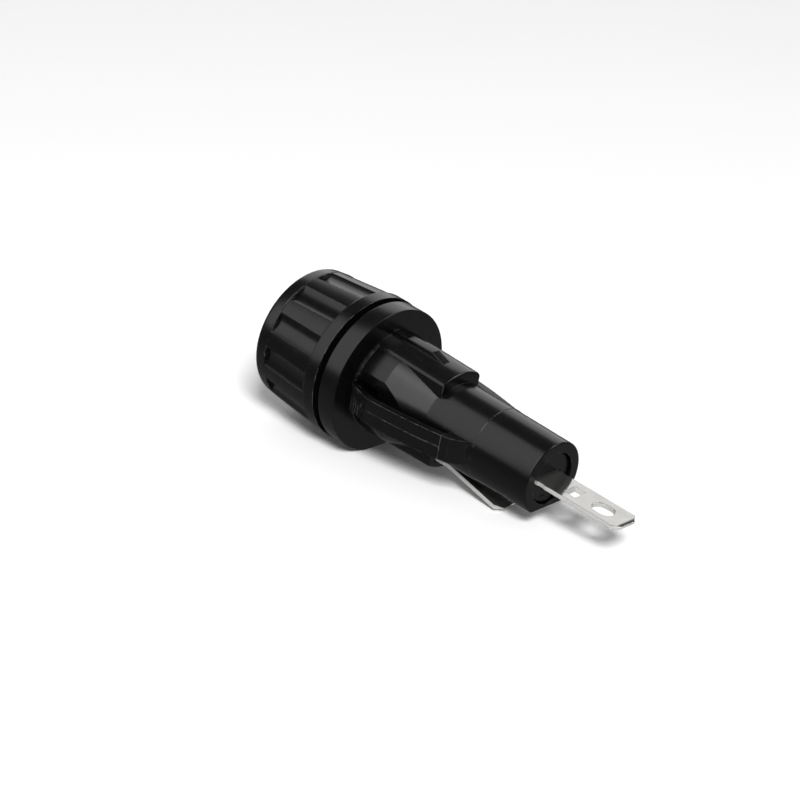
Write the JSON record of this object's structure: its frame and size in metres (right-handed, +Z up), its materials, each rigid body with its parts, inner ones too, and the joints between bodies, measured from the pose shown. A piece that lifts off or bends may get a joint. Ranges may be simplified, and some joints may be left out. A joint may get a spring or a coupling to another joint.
{
  "type": "cartridge fuse holder",
  "caption": "Snap-in panel fuse holder with a fluted bayonet cap, a keyed tapering barrel, two springy arms, and a quick-connect tab at its rear and side.",
  "frame": {"origin": "on the barrel's axis, in the face of the flange that rests on the panel", "axes": "+X along the axis, from the cap to the rear terminal; +Z up through the long key rib; +Y across the snap arms"},
  "size_m": [0.0796, 0.0284, 0.0284],
  "materials": {
    "black_plastic": "satin moulded plastic",
    "tinned_metal": "bright tin plate on brass",
    "plated_brass": "nickel plate on brass",
    "spring_steel": "drawn wire",
    "fuse_glass": "clear"
  },
  "bodies": {
    "holder": {"holder_body": "black_plastic", "rear_plug": "black_plastic", "rear_terminal": "tinned_metal", "side_terminal": "tinned_metal", "front_contact_ring": "plated_brass", "rear_contact_cup": "plated_brass", "rear_spring": "spring_steel"},
    "arm_left": {"snap_arm_left": "black_plastic"},
    "arm_right": {"snap_arm_right": "black_plastic"},
    "fuse": {"fuse_cap_front": "plated_brass", "fuse_cap_rear": "plated_brass", "fuse_tube": "fuse_glass", "fuse_element": "spring_steel"},
    "cap": {"cap_knob": "black_plastic", "bayonet_sleeve": "black_plastic", "front_clip": "plated_brass"}
  },
  "joints": [
    {"name": "cap_slide", "type": "slide", "parent": "holder", "child": "fuse", "axis": [1, 0, 0], "range_m": [-0.042, 0.0005], "deforming": ["rear_spring"]},
    {"name": "cap_turn", "type": "hinge", "parent": "fuse", "child": "cap", "pos_m": [0, 0, 0], "axis": [1, 0, 0], "range_deg": [0, 45]},
    {"name": "arm_left_bend", "type": "hinge", "parent": "holder", "child": "arm_left", "pos_m": [0.0218, -0.0091, 0], "axis": [0, 0, -1], "range_deg": [0, 5], "stiffness_Nm_per_rad": 0.5},
    {"name": "arm_right_bend", "type": "hinge", "parent": "holder", "child": "arm_right", "pos_m": [0.0218, 0.0091, 0], "axis": [0, 0, 1], "range_deg": [0, 5], "stiffness_Nm_per_rad": 0.5}
  ]
}
